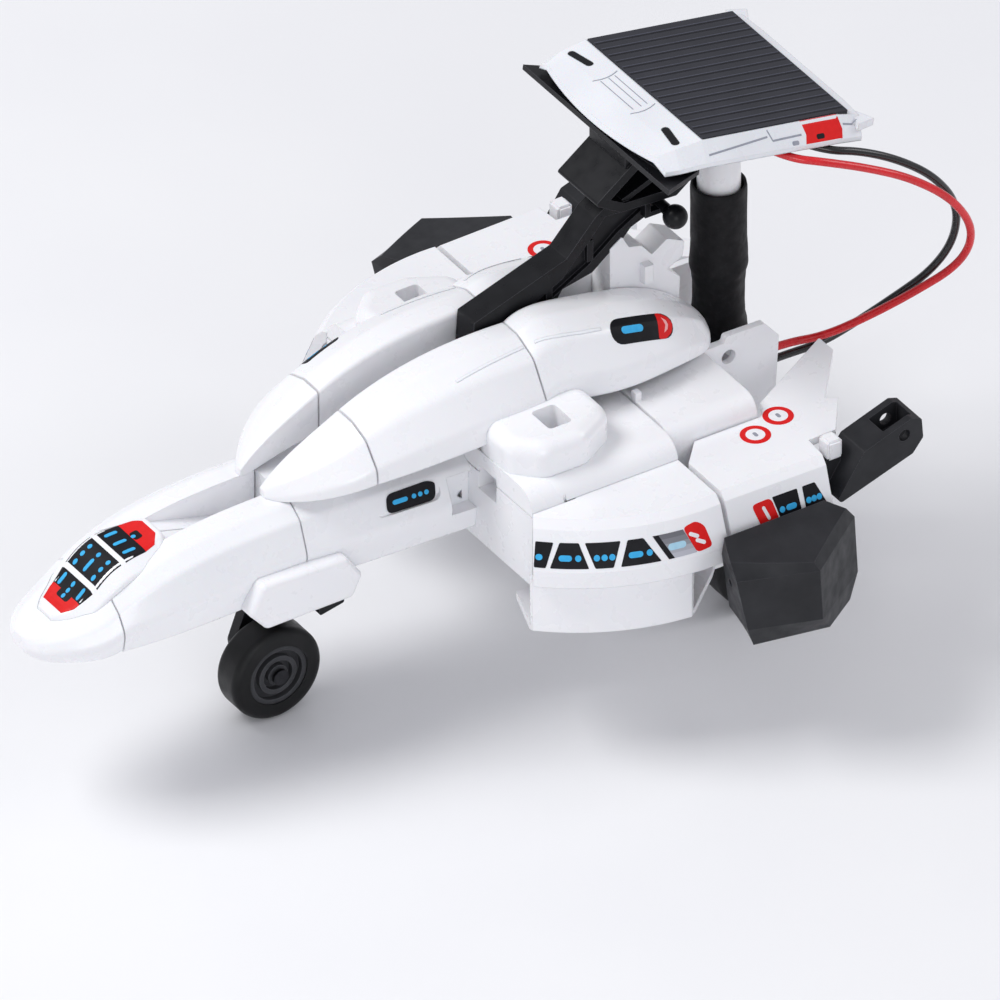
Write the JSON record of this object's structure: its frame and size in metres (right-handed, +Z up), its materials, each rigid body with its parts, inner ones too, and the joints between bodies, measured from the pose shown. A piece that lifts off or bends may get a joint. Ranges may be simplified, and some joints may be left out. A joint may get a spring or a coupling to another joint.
{
  "type": "solar robot kit",
  "caption": "Toy shuttle built from a solar robot kit: split white hull, quarter wings, pivoting pods, three wheels, geared drive axle and a tilting solar panel on a black arm.",
  "frame": {"origin": "on the floor, under the middle of the model without its two free wires", "axes": "+Z up, nose towards -Y, port side at +X"},
  "size_m": [0.1424, 0.203, 0.1146],
  "materials": {
    "white_shell": "glossy moulded white",
    "black_frame": "satin moulded black",
    "grey_pod": "satin moulded dark grey",
    "tyre_rubber": "smooth black rubber",
    "hub_dark": "satin dark grey",
    "hub_white": "glossy white",
    "gear_nylon": "natural nylon",
    "steel": "drawn steel",
    "rotor": "steel and copper",
    "sleeve_foam": "matt black sleeve",
    "cell_jacket": "printed shrink jacket",
    "panel_white": "glossy white with fine lines",
    "solar_silicon": "laminated dark silicon cell",
    "wire_red": "glossy red insulation",
    "wire_black": "glossy black insulation"
  },
  "bodies": {
    "fuselage": {"battery_cap": "white_shell", "battery_cell": "cell_jacket", "battery_sleeve": "sleeve_foam", "canopy": "white_shell", "elbow_joint_left": "white_shell", "elbow_joint_right": "white_shell", "front_hull_left": "white_shell", "front_hull_right": "white_shell", "gearbox_half_left": "white_shell", "gearbox_half_right": "white_shell", "gearbox_screws": "steel", "idler_shafts": "steel", "motor_can": "steel", "neck_block": "white_shell", "nose_axle": "steel", "nose_cone": "white_shell", "nose_fork": "black_frame", "nose_gear_fairing": "white_shell", "panel_bracket": "black_frame", "pivot_knob": "black_frame", "rear_block_left": "white_shell", "rear_block_right": "white_shell", "rear_plates": "white_shell", "shoulder_cap_left": "white_shell", "shoulder_cap_right": "white_shell", "side_hull_left": "white_shell", "side_hull_right": "white_shell", "spine_arm": "black_frame", "tilt_pin": "steel", "torso_block": "white_shell", "upper_shell_front_left": "white_shell", "upper_shell_front_right": "white_shell", "upper_shell_rear_left": "white_shell", "upper_shell_rear_right": "white_shell", "wing_lower_left": "white_shell", "wing_lower_right": "white_shell", "wing_upper_front_left": "white_shell", "wing_upper_front_right": "white_shell", "wing_upper_rear_left": "white_shell", "wing_upper_rear_right": "white_shell"},
    "nose_wheel": {"nose_wheel_hub": "hub_dark", "nose_tyre": "tyre_rubber"},
    "rear_axle": {"drive_axle": "steel", "axle_gear": "gear_nylon", "wheel_hub_left": "hub_white", "wheel_hub_right": "hub_white", "wheel_tyre_left": "tyre_rubber", "wheel_tyre_right": "tyre_rubber"},
    "reduction_b": {"reduction_gear_b": "gear_nylon"},
    "reduction_a": {"reduction_gear_a": "gear_nylon"},
    "rotor": {"motor_rotor": "rotor"},
    "panel": {"panel_tray": "black_frame", "panel_frame": "panel_white", "solar_cell": "solar_silicon", "wire_red": "wire_red", "wire_black": "wire_black"},
    "booster_left": {"booster_left": "grey_pod"},
    "booster_right": {"booster_right": "grey_pod"},
    "tail_arm_left": {"tail_arm_left": "grey_pod"},
    "tail_arm_right": {"tail_arm_right": "grey_pod"}
  },
  "joints": [
    {"name": "nose_wheel_spin", "type": "hinge", "parent": "fuselage", "child": "nose_wheel", "pos_m": [0, -0.03444, 0.0102], "axis": [1, 0, 0], "continuous": true},
    {"name": "rear_axle_spin", "type": "hinge", "parent": "fuselage", "child": "rear_axle", "pos_m": [0, 0.06606, 0.0102], "axis": [1, 0, 0], "continuous": true},
    {"name": "reduction_b_spin", "type": "hinge", "parent": "fuselage", "child": "reduction_b", "pos_m": [0.008, 0.06313, 0.01823], "axis": [1, 0, 0], "continuous": true},
    {"name": "reduction_a_spin", "type": "hinge", "parent": "fuselage", "child": "reduction_a", "pos_m": [0.006, 0.06548, 0.02698], "axis": [1, 0, 0], "continuous": true},
    {"name": "motor_spin", "type": "hinge", "parent": "fuselage", "child": "rotor", "pos_m": [0, 0.0612, 0.03438], "axis": [1, 0, 0], "continuous": true},
    {"name": "panel_tilt", "type": "hinge", "parent": "fuselage", "child": "panel", "pos_m": [0, 0.04606, 0.1074], "axis": [1, 0, 0], "range_deg": [0, 45], "deforming": ["wire_red", "wire_black"]},
    {"name": "booster_left_tilt", "type": "hinge", "parent": "fuselage", "child": "booster_left", "pos_m": [0.058, 0.04506, 0.0366], "axis": [1, 0, 0], "range_deg": [-30, 60]},
    {"name": "booster_right_tilt", "type": "hinge", "parent": "fuselage", "child": "booster_right", "pos_m": [-0.058, 0.04506, 0.0366], "axis": [1, 0, 0], "range_deg": [-30, 60]},
    {"name": "tail_arm_left_lift", "type": "hinge", "parent": "fuselage", "child": "tail_arm_left", "pos_m": [0.047, 0.05706, 0.0468], "axis": [1, 0, 0], "range_deg": [0, 12]},
    {"name": "tail_arm_right_lift", "type": "hinge", "parent": "fuselage", "child": "tail_arm_right", "pos_m": [-0.047, 0.05706, 0.0468], "axis": [1, 0, 0], "range_deg": [0, 12]}
  ],
  "couplings": [
    {"joint": "reduction_a_spin", "follows": "motor_spin", "ratio": -0.30769},
    {"joint": "reduction_b_spin", "follows": "motor_spin", "ratio": 0.11834},
    {"joint": "rear_axle_spin", "follows": "motor_spin", "ratio": -0.04931}
  ]
}
